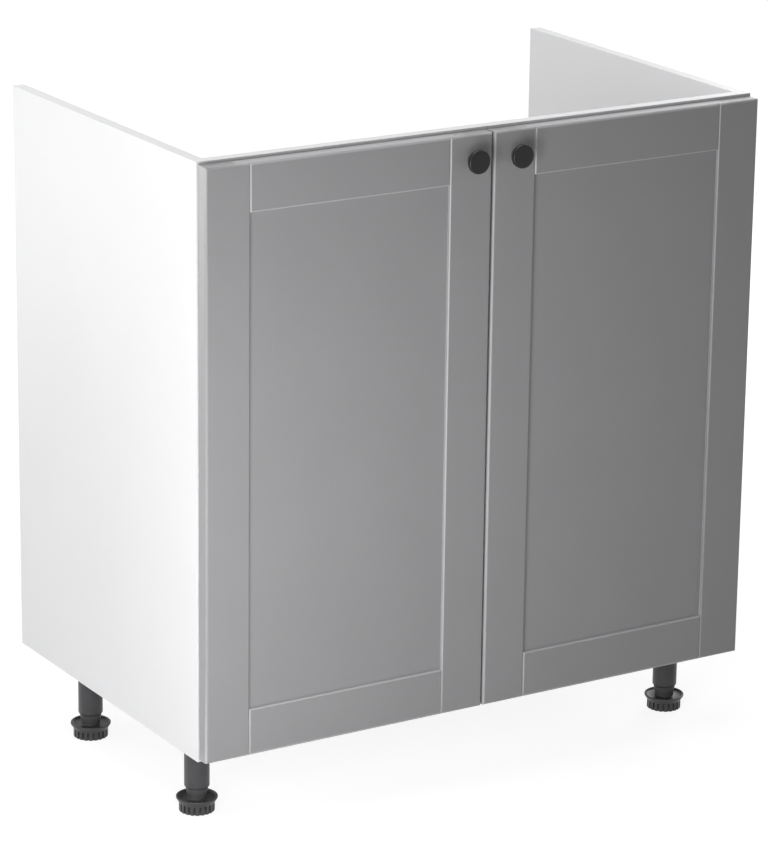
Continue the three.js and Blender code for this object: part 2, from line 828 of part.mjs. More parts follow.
function legSocket() {
  const spigot = spigotDiameter / 2;
  const hollow = spigot - spigotWall;
  const rim = socketDiameter / 2;
  const profile = [
    [hollow, socketTop - spigotBlind],
    [hollow, socketUnder - spigotLength],
    [spigot, socketUnder - spigotLength],
    [spigot, socketUnder],
    [rim - socketBevel, socketUnder],
    [rim, socketUnder + socketBevel],
    [rim, socketTop],
    [0, socketTop],
    [0, socketTop - spigotBlind],
    [hollow, socketTop - spigotBlind],
  ];
  const holes = legScrewHoles(socketUnder - overcut, socketTop + overcut);
  return cut(turned(profile, mediumSides), holes);
}

function legTube() {
  const top = socketUnder - boardGap;
  const bottom = hubTop + hubGap;
  const outer = tubeDiameter / 2;
  const profile = [
    [tubeUpperBore / 2, top],
    [tubeUpperBore / 2, tubeBoreStep],
    [tubeLowerBore / 2, tubeBoreStep - tubeBoreSlope],
    [tubeLowerBore / 2, bottom],
    [outer - tubeChamfer, bottom],
    [outer, bottom + tubeChamferHeight],
    [outer, top],
    [tubeUpperBore / 2, top],
  ];
  return turned(profile, mediumSides);
}

// The grip ring: flat-topped ribs with slots between them.
function ribbedRing() {
  const outer = footDiameter / 2;
  const inner = outer - footSlotDepth;
  const pitch = (2 * Math.PI) / footRibCount;
  const slot = footSlotWidth / outer;
  const corners = [
    [inner, footSlotDraft * slot],
    [inner, (1 - footSlotDraft) * slot],
    [outer, slot],
    [outer, pitch],
  ];
  const outline = [];
  for (let k = 0; k < footRibCount; k += 1) {
    for (const [r, turn] of corners) {
      const angle = k * pitch + turn;
      outline.push([r * Math.cos(angle), r * Math.sin(angle)]);
    }
  }
  return raised(outline, 0, footRingHeight + runIn);
}

function legFoot() {
  const flange = footFlangeDiameter / 2;
  const flareTop = footRingHeight + footFlareHeight;
  const rim = flareTop + footRimHeight;
  const dish = rim - footDishDepth;
  const profile = [
    [0, footRingHeight],
    [footDiameter / 2 + footRootStep, footRingHeight],
    [flange, flareTop],
    [flange, rim - footRimBevel],
    [flange - footRimBevel, rim],
    [flange - footRimWidth, rim],
    [flange - footRimWidth - footDishSlope, dish],
    [hubBottomDiameter / 2, dish],
    [hubTopDiameter / 2, hubTop],
    [stemDiameter / 2, hubTop],
    [stemDiameter / 2, stemTop],
    [0, stemTop],
  ];
  return joined(turned(profile, mediumSides), ribbedRing());
}

function addLegs() {
  const socket = legSocket();
  const tube = legTube();
  const foot = legFoot();
  for (const leg of legPlaces) {
    add(`leg_${leg.name}_socket`, socket, darkPlastic, leg.x, leg.y, 0);
    add(`leg_${leg.name}_tube`, tube, darkPlastic, leg.x, leg.y, 0);
    add(`leg_${leg.name}_foot`, foot, darkPlastic, leg.x, leg.y, 0);
  }
}

addCarcass();
addCamLocks();
addDoors();
addKnobs();
addHinges();
addLegs();

export default cabinet;
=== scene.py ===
"""Sink base cabinet: its fine pieces and finishes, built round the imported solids, with a studio and a camera."""

import json
import math

import bpy
from bpy.props import FloatProperty, FloatVectorProperty, IntProperty, PointerProperty
from mathutils import Matrix, Vector

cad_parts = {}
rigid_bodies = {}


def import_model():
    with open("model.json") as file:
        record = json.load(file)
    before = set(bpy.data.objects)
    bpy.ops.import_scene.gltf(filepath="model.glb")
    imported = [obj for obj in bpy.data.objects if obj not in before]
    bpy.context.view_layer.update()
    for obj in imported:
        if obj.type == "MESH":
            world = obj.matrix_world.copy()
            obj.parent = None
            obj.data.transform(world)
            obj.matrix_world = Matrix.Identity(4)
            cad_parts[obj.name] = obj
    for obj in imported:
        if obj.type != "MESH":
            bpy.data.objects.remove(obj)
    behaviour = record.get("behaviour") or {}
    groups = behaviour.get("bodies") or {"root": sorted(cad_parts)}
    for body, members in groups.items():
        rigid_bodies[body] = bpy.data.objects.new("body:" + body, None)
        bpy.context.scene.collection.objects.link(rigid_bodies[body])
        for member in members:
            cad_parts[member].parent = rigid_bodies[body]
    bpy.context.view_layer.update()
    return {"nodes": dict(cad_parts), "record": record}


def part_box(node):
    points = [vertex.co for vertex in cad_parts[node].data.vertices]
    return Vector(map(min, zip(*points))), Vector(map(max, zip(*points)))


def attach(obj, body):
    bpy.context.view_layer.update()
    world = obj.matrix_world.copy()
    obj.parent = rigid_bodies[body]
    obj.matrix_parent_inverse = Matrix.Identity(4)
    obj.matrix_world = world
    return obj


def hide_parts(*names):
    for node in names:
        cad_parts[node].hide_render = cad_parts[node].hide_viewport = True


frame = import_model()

bl_info = {
    "name": "Sink Base Cabinet",
    "version": (1, 0, 0),
    "blender": (4, 5, 0),
    "location": "3D View > Sidebar > Cabinet",
    "description": "Builds the boards, doors, knobs, hinges, legs and fittings of a sink base cabinet",
    "category": "Object",
}

NODES = frame["nodes"]
BODIES = frame["record"]["behaviour"]["bodies"]
SLOTS = {entry["node"]: entry["material_slot"] for entry in frame["record"]["subparts"]}
SIDES = ("left", "right")
LEVELS = ("lower", "upper")
LEGS = ("front_left", "front_right", "rear_left", "rear_right")
MILLIMETRE = 0.001

# Where the small fasteners sit. The solids are bored for all but the screws of the hinge arms and the bumpers.
CUP_SCREW_ASIDE = 9.5 * MILLIMETRE  # from the middle of a cup towards the middle of the door
CUP_SCREW_RISE = 22.5 * MILLIMETRE
PLATE_FACE = 2.42 * MILLIMETRE  # just clear of a hinge plate, from its back
PLATE_SCREW_DEPTH = 15 * MILLIMETRE  # from the front end of a plate
PLATE_SCREW_RISE = 16 * MILLIMETRE
ARM_FACE = 13.98 * MILLIMETRE  # just clear of an arm, from the back of its plate
ARM_SCREW_DEPTHS = (6 * MILLIMETRE, 29 * MILLIMETRE)  # from the front end of the plate
SOCKET_FACE = 3.52 * MILLIMETRE  # just clear of the flange of a socket, from its top
LEG_SCREW_RADIUS = 24 * MILLIMETRE
BOTTOM_DOWEL_REACH = 96 * MILLIMETRE
RAIL_DOWEL_REACH = 32 * MILLIMETRE
BUMPER_INSET = 12 * MILLIMETRE  # from the meeting edge of a door
DOWEL_SIDES = 40


# ---------------------------------------------------------------- settings


def length(name, description, default):
    return FloatProperty(
        name=name, description=description, default=default, min=0, unit="LENGTH", subtype="DISTANCE", precision=5
    )


def shade(name, description, default):
    return FloatVectorProperty(
        name=name, description=description, default=default, min=0, max=1, size=3, subtype="COLOR"
    )


def power(name, description, default):
    return FloatProperty(name=name, description=description, default=default, min=0, unit="POWER")


class CabinetSizes(bpy.types.PropertyGroup):
    """Sizes that are finer than the solids."""

    board_edge: length("Board edge", "Rounding of the edge banding on the boards", 0.0005)
    door_edge: length("Door edge", "Softening of the sharp edges of the door pieces", 0.0004)
    metal_edge: length("Metal edge", "Softening of the edges of the hinge parts", 0.00012)
    knob_rim: length("Knob rim", "Radius of the front edge of a knob", 0.0018)
    rib_depth: length("Rib depth", "Depth of the slots in the grip ring of a foot", 0.0018)
    rib_count: IntProperty(name="Ribs", description="Number of ribs round a foot", default=20, min=6, max=60)
    screw_head: length("Screw head", "Diameter of the small screw heads", 0.0068)
    screw_shaft: length("Screw shaft", "Diameter of the small screws", 0.0038)
    bumper: length("Bumper", "Diameter of the pads that the doors close on", 0.008)


class CabinetColours(bpy.types.PropertyGroup):
    """Colours of the finishes."""

    board: shade("Board", "White melamine of the carcass", (0.86, 0.86, 0.87))
    door: shade("Door", "Grey foil of the doors", (0.315, 0.31, 0.318))
    knob: shade("Knob", "Black of the knobs", (0.005, 0.0047, 0.005))
    plastic: shade("Plastic", "Dark plastic of the legs", (0.06, 0.058, 0.061))
    steel: shade("Steel", "Nickel-plated steel of hinges and screws", (0.55, 0.55, 0.56))
    zinc: shade("Zinc", "Cast zinc of the cam locks", (0.36, 0.36, 0.37))
    beech: shade("Beech", "Wood of the dowels", (0.58, 0.37, 0.19))
    floor: shade("Floor", "Floor of the studio", (0.35, 0.35, 0.35))


class CabinetStudio(bpy.types.PropertyGroup):
    """Light and camera."""

    key_power: power("Key light", "Power of the near lamp in front", 6.15)
    side_power: power("Side light", "Power of the lamp on the left", 20.5)
    edge_power: power("Edge light", "Power of the narrow lamp behind left", 15)
    strip_power: power("Strip light", "Power of the tall narrow lamp", 11.5)
    top_power: power("Top light", "Power of the lamp above", 45)
    rear_power: power("Rear light", "Power of the lamp behind", 22)
    ambient: FloatProperty(name="Ambient", description="Strength of the light from all round", default=0.12, min=0)
    lens: FloatProperty(name="Lens", description="Focal length in millimetres", default=163.2, min=10)


def sizes():
    return bpy.context.scene.cabinet_sizes


def colours():
    return bpy.context.scene.cabinet_colours


# ---------------------------------------------------------------- modelling by hand


def deselect():
    """Leaves edit mode and lets go of every object."""
    if bpy.context.object and bpy.context.object.mode != "OBJECT":
        bpy.ops.object.mode_set(mode="OBJECT")
    for item in bpy.context.view_layer.objects.selected[:]:
        item.select_set(False)


def only(piece):
    """Makes a piece the one that the operators act on."""
    deselect()
    piece.select_set(True)
    bpy.context.view_layer.objects.active = piece


def edit(piece, mode="VERT"):
    only(piece)
    bpy.ops.object.mode_set(mode="EDIT")
    bpy.ops.mesh.select_mode(type=mode)


def leave():
    bpy.ops.object.mode_set(mode="OBJECT")


def named(name):
    """Names the object that a primitive has just made."""
    piece = bpy.context.object
    piece.name = name
    piece.data.name = name
    return piece


def settle(piece):
    """Moves a piece's place, turn and scale into its mesh."""
    only(piece)
    bpy.ops.object.transform_apply(location=True, rotation=True, scale=True)
    return piece


def choose_faces(piece, wanted):
    """Selects the faces for which wanted(face) holds, ready for edit mode."""
    mesh = piece.data
    for group in (mesh.vertices, mesh.edges):
        for item in group:
            item.select = False
    for face in mesh.polygons:
        face.select = bool(wanted(face))


def outward(piece):
    """Merges doubles and points every face outwards."""
    edit(piece)
    bpy.ops.mesh.select_all(action="SELECT")
    bpy.ops.mesh.remove_doubles(threshold=0.000002)
    bpy.ops.mesh.normals_make_consistent(inside=False)
    leave()


def smooth(piece, degrees=35):
    """Shades a piece smooth, up to edges that are sharper than the given angle."""
    only(piece)
    bpy.ops.object.shade_smooth_by_angle(angle=math.radians(degrees))


def soften(piece, width, degrees, segments=2):
    """Rounds every edge that is sharper than the given angle."""
    only(piece)
    bevel = piece.modifiers.new("soft edges", "BEVEL")
    bevel.width = width
    bevel.segments = segments
    bevel.limit_method = "ANGLE"
    bevel.angle_limit = math.radians(degrees)
    bevel.use_clamp_overlap = True
    bpy.ops.object.modifier_apply(modifier=bevel.name)


def frame_faces(piece, border=0.0015, least=0.008):
    """Gives each wide four-sided face a narrow border, so that the wear, painted highlight and painted shade of
    its edges stay at its edges.
    """

    def wide(face):
        corners = [piece.data.vertices[index].co for index in face.vertices]
        sides = [(a - b).length for a, b in zip(corners, corners[1:] + corners[:1])]
        return len(corners) == 4 and min(sides) > least

    choose_faces(piece, wide)
    edit(piece, "FACE")
    bpy.ops.mesh.inset(thickness=border, depth=0, use_individual=True, use_even_offset=True)
    leave()


def ring_bores(piece, boxes, margin=0.003):
    """Cuts seams round the bores of an upright board, so that the flat faces beyond them are plain rectangles."""
    edit(piece)
    for low, high in boxes:
        for corner, side in ((low, -1), (high, 1)):
            for axis in (0, 2):
                place = Vector(corner)
                place[axis] += side * margin
                normal = Vector((0, 0, 0))
                normal[axis] = 1
                bpy.ops.mesh.select_all(action="SELECT")
                bpy.ops.mesh.bisect(plane_co=place, plane_no=normal)
                bpy.ops.mesh.mark_seam(clear=False)
    leave()


def keep_flat(piece):
    """Keeps the shading of wide flat faces flat, up to their rounded edges and bores."""
    only(piece)
    weighted = piece.modifiers.new("flat faces", "WEIGHTED_NORMAL")
    weighted.keep_sharp = True
    bpy.ops.object.modifier_apply(modifier=weighted.name)


def turned(name, profile, steps):
    """Draws a profile of (radius, height) points by extruding a point, and spins it round the Z axis."""
    deselect()
    bpy.ops.mesh.primitive_plane_add(size=0.002, location=(0, 0, 0))
    piece = named(name)
    edit(piece)
    bpy.ops.mesh.select_all(action="SELECT")
    bpy.ops.mesh.merge(type="CENTER")
    bpy.ops.transform.translate(value=(profile[0][0], 0, profile[0][1]))
    for (r0, z0), (r1, z1) in zip(profile, profile[1:]):
        bpy.ops.mesh.extrude_region_move(TRANSFORM_OT_translate={"value": (r1 - r0, 0, z1 - z0)})
    bpy.ops.mesh.select_all(action="SELECT")
    bpy.ops.mesh.spin(
        steps=steps, dupli=False, angle=2 * math.pi, use_auto_merge=True, center=(0, 0, 0), axis=(0, 0, 1)
    )
    leave()
    outward(piece)
    return piece


def arc(centre, radius, start, end, steps):
    """Points of an arc in the (radius, height) plane, from one angle to another in degrees."""
    points = []
    for i in range(steps + 1):
        angle = math.radians(start + (end - start) * i / steps)
        points.append((centre[0] + radius * math.cos(angle), centre[1] + radius * math.sin(angle)))
    return points


def combine(piece, other, operation):
    """Cuts another piece from a piece, or joins it to the piece, and removes the other."""
    only(piece)
    solid = piece.modifiers.new("solid", "BOOLEAN")
    solid.operation = operation
    solid.solver = "EXACT"
    solid.object = other
    bpy.ops.object.modifier_apply(modifier=solid.name)
    bpy.data.objects.remove(other)


def cross_cutter(span, width, low, high):
    """Two crossed bars for the recess of a screw."""
    bars = []
    for size in ((span, width), (width, span)):
        deselect()
        bpy.ops.mesh.primitive_cube_add(size=1, location=(0, 0, (low + high) / 2))
        bar = named("recess_bar")
        bar.scale = (size[0], size[1], high - low)
        bars.append(settle(bar))
    combine(bars[0], bars[1], "UNION")
    return bars[0]


def copy_at(pattern, name, matrix):
    """A copy of a finished piece with its own mesh, moved inside that mesh."""
    piece = pattern.copy()
    piece.data = pattern.data.copy()
    piece.name = name
    piece.data.name = name
    bpy.context.collection.objects.link(piece)
    piece.data.transform(matrix)
    if matrix.determinant() < 0:
        piece.data.flip_normals()
    return piece


def discard(piece):
    """Removes a pattern once its copies are made."""
    mesh = piece.data
    bpy.data.objects.remove(piece)
    bpy.data.meshes.remove(mesh)


def body_of(node):
    """The body that a solid moves with."""
    return next(body for body, members in BODIES.items() if node in members)


def centre_of(node):
    """The middle of a solid's box."""
    low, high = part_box(node)
    return (Vector(low) + Vector(high)) / 2


def dress(piece, material, body):
    """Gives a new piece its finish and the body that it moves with."""
    piece.data.materials.clear()
    piece.data.materials.append(material)
    for face in piece.data.polygons:
        face.material_index = 0
    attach(piece, body)


def refined(node, width, degrees, material, bores=()):
    """A copy of a solid with its doubles merged and its sharp edges softened, shown in its place."""
    piece = NODES[node].copy()
    piece.data = NODES[node].data.copy()
    piece.name = "fine_" + node
    piece.data.name = piece.name
    bpy.context.collection.objects.link(piece)
    edit(piece)
    bpy.ops.mesh.select_all(action="SELECT")
    bpy.ops.mesh.remove_doubles(threshold=0.00001)
    bpy.ops.mesh.customdata_custom_splitnormals_clear()
    leave()
    ring_bores(piece, bores)
    edit(piece)
    bpy.ops.mesh.select_all(action="SELECT")
    bpy.ops.mesh.dissolve_limited(angle_limit=math.radians(0.5), delimit={"SEAM"})
    leave()
    soften(piece, width, degrees)
    frame_faces(piece)
    smooth(piece)
    keep_flat(piece)
    dress(piece, material, body_of(node))
    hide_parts(node)


# ---------------------------------------------------------------- finishes


class Nodes:
    """A short way to lay out a material's nodes."""

    def __init__(self, name):
        self.material = bpy.data.materials.new(name)
        self.material.use_nodes = True
        self.tree = self.material.node_tree
        self.shader = self.tree.nodes["Principled BSDF"]
        self.place = self.add("ShaderNodeTexCoord").outputs["Object"]

    def add(self, kind, **settings):
        node = self.tree.nodes.new(kind)
        for key, value in settings.items():
            setattr(node, key, value)
        return node

    def link(self, source, target):
        self.tree.links.new(source, target)

    def stretched(self, scale):
        """Object coordinates, scaled along each axis."""
        mapping = self.add("ShaderNodeMapping")
        self.link(self.place, mapping.inputs["Vector"])
        mapping.inputs["Scale"].default_value = scale
        return mapping.outputs["Vector"]

    def noise(self, scale, detail=2.0, roughness=0.5, stretch=None):
        node = self.add("ShaderNodeTexNoise")
        node.inputs["Scale"].default_value = scale
        node.inputs["Detail"].default_value = detail
        node.inputs["Roughness"].default_value = roughness
        self.link(self.stretched(stretch) if stretch else self.place, node.inputs["Vector"])
        return node.outputs["Fac"]

    def between(self, value, low, high, from_low=0.3, from_high=0.7):
        """Spreads a value, by default that of a noise, over a range from low to high."""
        node = self.add("ShaderNodeMapRange")
        node.inputs["From Min"].default_value = from_low
        node.inputs["From Max"].default_value = from_high
        node.inputs["To Min"].default_value = low
        node.inputs["To Max"].default_value = high
        self.link(value, node.inputs["Value"])
        return node.outputs["Result"]

    def mixed(self, value, first, second):
        node = self.add("ShaderNodeMix", data_type="RGBA")
        for socket, colour in ((node.inputs[6], first), (node.inputs[7], second)):
            if isinstance(colour, bpy.types.NodeSocket):
                self.link(colour, socket)
            else:
                socket.default_value = (*colour, 1)
        self.link(value, node.inputs[0])
        return node.outputs[2]

    def worn_edges(self, sharpness=0.04):
        """Nearly 1 along convex edges and 0 on flat faces: the mask for edge wear, and on the doors and knobs for
        a painted highlight.
        """
        geometry = self.add("ShaderNodeNewGeometry")
        return self.between(geometry.outputs["Pointiness"], 0, 1, 0.5 + sharpness / 2, 0.5 + sharpness)

    def hollows(self, sharpness=0.04):
        """Nearly 1 in concave corners and narrow slots, and 0 on flat faces: the mask for painted shade."""
        geometry = self.add("ShaderNodeNewGeometry")
        return self.between(geometry.outputs["Pointiness"], 1, 0, 0.5 - sharpness, 0.5 - sharpness / 4)

    def bump(self, layers):
        """Layers of (height, strength, distance) one on another."""
        normal = None
        for height, strength, distance in layers:
            node = self.add("ShaderNodeBump")
            node.inputs["Strength"].default_value = strength
            node.inputs["Distance"].default_value = distance
            self.link(height, node.inputs["Height"])
            if normal is not None:
                self.link(normal, node.inputs["Normal"])
            normal = node.outputs["Normal"]
        self.link(normal, self.shader.inputs["Normal"])

    def finish(self, colour, roughness, **constants):
        """The material; what is the same all over is set on the shader's own sockets."""
        self.link(colour, self.shader.inputs["Base Color"])
        self.link(roughness, self.shader.inputs["Roughness"])
        for key, value in constants.items():
            self.shader.inputs[key.replace("_", " ")].default_value = value
        return self.material


def tone(colour, factor):
    """A lighter or darker tone of a colour."""
    return tuple(min(1.0, channel * factor) for channel in colour)


def white_melamine():
    """Satin melamine with the faint pebbling of its press plate."""
    n = Nodes("white_melamine")
    base = colours().board
    clouds = n.between(n.noise(6, 3), 0, 1)
    colour = n.mixed(clouds, tone(base, 0.985), tone(base, 1.005))
    roughness = n.between(n.noise(420, 2), 0.36, 0.48)
    n.bump([(n.noise(1500, 3, 0.6), 0.10, 0.00012), (n.noise(320, 2), 0.05, 0.0002)])
    return n.finish(colour, roughness, IOR=1.5, Specular_IOR_Level=0.45)


def grey_foil():
    """Satin grey foil over a smooth core, with a very fine grain, a painted highlight along its edges and painted
    shade in its corners.
    """
    n = Nodes("grey_foil")
    base = colours().door
    grain = n.noise(900, 4, 0.6, stretch=(1, 1, 0.16))
    clouds = n.noise(9, 3)
    shaded = n.mixed(n.between(clouds, 0, 1), tone(base, 0.98), tone(base, 1.02))
    grained = n.mixed(n.between(grain, 0, 0.45), shaded, tone(base, 1.07))
    # painted highlight: convex edges lightened towards 1.9 times the foil's colour, standing in for the light they
    # catch
    painted_edge_highlight = n.mixed(n.between(n.worn_edges(), 0, 0.6, 0, 1), grained, tone(base, 1.9))
    # painted shade: corners and hollows darkened towards 0.4 times the foil's colour
    colour = n.mixed(n.between(n.hollows(), 0, 0.5, 0, 1), painted_edge_highlight, tone(base, 0.4))
    roughness = n.between(n.noise(600, 3), 0.34, 0.42)
    n.bump([(grain, 0.08, 0.0001), (n.noise(2600, 2), 0.05, 0.00006)])
    return n.finish(colour, roughness, IOR=1.5, Specular_IOR_Level=0.5)


BARE_METAL_AND_HIGHLIGHT = (0.14, 0.14, 0.145)  # the worn edges of a knob, lightened also as a painted highlight on its rim


def black_lacquer():
    """Black lacquer over turned metal: dull below, with a thin clear coat and worn edges lightened to bare metal,
    which also serve as a painted highlight on the rim.
    """
    n = Nodes("black_lacquer")
    base = colours().knob
    specks = n.noise(1400, 3)
    colour = n.mixed(n.between(specks, 0, 1), tone(base, 0.85), tone(base, 1.4))
    # painted highlight: the rim's edges are lightened to bare metal all round, partly wear and partly standing in
    # for the glint of the lamps
    worn_and_highlit_rim = n.mixed(n.between(n.worn_edges(), 0, 0.75, 0, 1), colour, BARE_METAL_AND_HIGHLIGHT)
    roughness = n.between(n.noise(500, 3), 0.26, 0.36)
    n.bump([(n.noise(1800, 3), 0.06, 0.00005)])
    return n.finish(worn_and_highlit_rim, roughness, IOR=1.5, Specular_IOR_Level=0.06, Coat_Weight=0.5, Coat_Roughness=0.12)


def moulded_plastic():
    """Dark polypropylene with a spark-eroded mould texture, lighter worn edges and painted shade in its slots and
    hollows.
    """
    n = Nodes("moulded_plastic")
    base = colours().plastic
    clouds = n.between(n.noise(60, 3), 0, 1)
    colour = n.mixed(clouds, tone(base, 0.9), tone(base, 1.15))
    lighter = n.mixed(n.between(n.worn_edges(), 0, 0.3, 0, 1), colour, tone(base, 1.8))
    # painted shade: slots and hollows darkened towards a quarter of the plastic's colour
    darker = n.mixed(n.between(n.hollows(), 0, 0.8, 0, 1), lighter, tone(base, 0.25))
    roughness = n.between(n.noise(700, 3), 0.34, 0.46)
    n.bump([(n.noise(2200, 3, 0.7), 0.2, 0.00008), (n.noise(260, 2), 0.05, 0.0002)])
    return n.finish(darker, roughness, IOR=1.49, Specular_IOR_Level=0.3)


def nickel_plate():
    """Nickel-plated pressed steel, with rolling lines and a little tarnish."""
    n = Nodes("nickel_plate")
    base = colours().steel
    lines = n.noise(700, 3, 0.6, stretch=(1, 1, 9))
    tarnish = n.between(n.noise(70, 4), 0, 1)
    colour = n.mixed(tarnish, tone(base, 0.9), tone(base, 1.08))
    bright = n.mixed(n.between(n.worn_edges(), 0, 0.5, 0, 1), colour, tone(base, 1.5))
    roughness = n.between(lines, 0.2, 0.34)
    n.bump([(lines, 0.06, 0.00006)])
    return n.finish(bright, roughness, Metallic=1.0)


def cast_zinc():
    """Dull die-cast zinc, slightly pitted."""
    n = Nodes("cast_zinc")
    base = colours().zinc
    pits = n.noise(900, 4, 0.7)
    colour = n.mixed(n.between(pits, 0, 1), tone(base, 0.82), tone(base, 1.1))
    roughness = n.between(n.noise(300, 3), 0.36, 0.52)
    n.bump([(pits, 0.2, 0.00008)])
    return n.finish(colour, roughness, Metallic=1.0)


def beech_wood():
    """Plain beech with its short flecks."""
    n = Nodes("beech_wood")
    base = colours().beech
    flecks = n.noise(900, 4, 0.6, stretch=(0.12, 1, 1))
    colour = n.mixed(n.between(flecks, 0, 1), tone(base, 0.78), tone(base, 1.12))
    roughness = n.between(flecks, 0.55, 0.7)
    n.bump([(flecks, 0.25, 0.0001)])
    return n.finish(colour, roughness)


FINISHES = {
    "white_board": white_melamine,
    "grey_door": grey_foil,
    "black_knob": black_lacquer,
    "dark_plastic": moulded_plastic,
    "plated_steel": nickel_plate,
    "zinc_alloy": cast_zinc,
    "beech": beech_wood,
}


def finish(name):
    """The material of a slot, made the first time that it is asked for."""
    function = FINISHES[name]
    return bpy.data.materials.get(function.__name__) or function()


# ---------------------------------------------------------------- pieces


class CABINET_OT_boards(bpy.types.Operator):
    """Shows the carcass boards with their edge banding slightly rounded"""

    bl_idname = "cabinet.boards"
    bl_label = "Carcass Boards"

    def execute(self, context):
        for node in NODES:
            if SLOTS[node] == "white_board":
                refined(node, sizes().board_edge, 60, finish("white_board"))
        return {"FINISHED"}


class CABINET_OT_doors(bpy.types.Operator):
    """Shows the frames and panels of both doors with softened edges"""

    bl_idname = "cabinet.doors"
    bl_label = "Doors"

    def execute(self, context):
        for node in NODES:
            if SLOTS[node] == "grey_door":
                refined(node, sizes().door_edge, 40, finish("grey_door"), bores=self.bores(node))
        return {"FINISHED"}

    def bores(self, node):
        """The boxes of the parts that sit in the bores of a stile."""
        side = node.split("_")[1]
        if node.endswith("meeting_stile"):
            return [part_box("knob_screw_" + side)]
        if node.endswith("hinge_stile"):
            return [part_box(f"hinge_{side}_{level}_cup") for level in LEVELS]
        return []


class CABINET_OT_knobs(bpy.types.Operator):
    """Turns the round knobs: a small foot, a straight neck and a flat disc"""

    bl_idname = "cabinet.knobs"
    bl_label = "Knobs"

    def execute(self, context):
        mm = MILLIMETRE
        low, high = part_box("knob_left")
        reach = high[1] - low[1]
        radius = (high[0] - low[0]) / 2
        rim = sizes().knob_rim
        foot = 6 * mm
        neck = 4.7 * mm
        disc = reach - 8 * mm
        crown = 0.12 * mm
        profile = [(0, 0), (foot - 0.25 * mm, 0), (foot, 0.25 * mm)]
        profile += arc((foot - 0.5 * mm, 1.0 * mm), 0.5 * mm, 0, 90, 3)
        profile += arc((neck + 0.6 * mm, 2.1 * mm), 0.6 * mm, 270, 180, 4)
        profile += arc((neck + 1.3 * mm, disc - 1.3 * mm), 1.3 * mm, 180, 90, 5)
        profile += [(radius - 2.6 * mm, disc), (radius - 2.1 * mm, disc + 0.15 * mm)]
        profile += [(radius - 0.2 * mm, disc + 2.05 * mm), (radius, disc + 2.6 * mm)]
        profile += arc((radius - rim, reach - crown - rim), rim, 0, 84, 6)
        profile += [(radius * 0.6, reach - crown * 0.36), (radius * 0.25, reach - crown * 0.06), (0, reach)]
        pattern = turned("knob", profile, 96)
        smooth(pattern, 28)
        for side in SIDES:
            node = "knob_" + side
            low, high = (Vector(corner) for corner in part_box(node))
            seat = Vector(((low.x + high.x) / 2, high.y, (low.z + high.z) / 2))
            turn = Matrix.Rotation(math.radians(90), 4, "X")
            piece = copy_at(pattern, "fine_" + node, Matrix.Translation(seat) @ turn)
            dress(piece, finish("black_knob"), body_of(node))
            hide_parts(node)
            refined("knob_screw_" + side, sizes().metal_edge, 50, finish("plated_steel"))
        discard(pattern)
        return {"FINISHED"}


class CABINET_OT_hinges(bpy.types.Operator):
    """Shows the cups, levers, arms and plates of the concealed hinges with pressed edges"""

    bl_idname = "cabinet.hinges"
    bl_label = "Hinges"

    def execute(self, context):
        for node in NODES:
            if node.startswith("hinge_"):
                refined(node, sizes().metal_edge, 50, finish("plated_steel"))
            elif node.startswith("cam_lock_"):
                refined(node, sizes().metal_edge, 50, finish("zinc_alloy"))
        return {"FINISHED"}


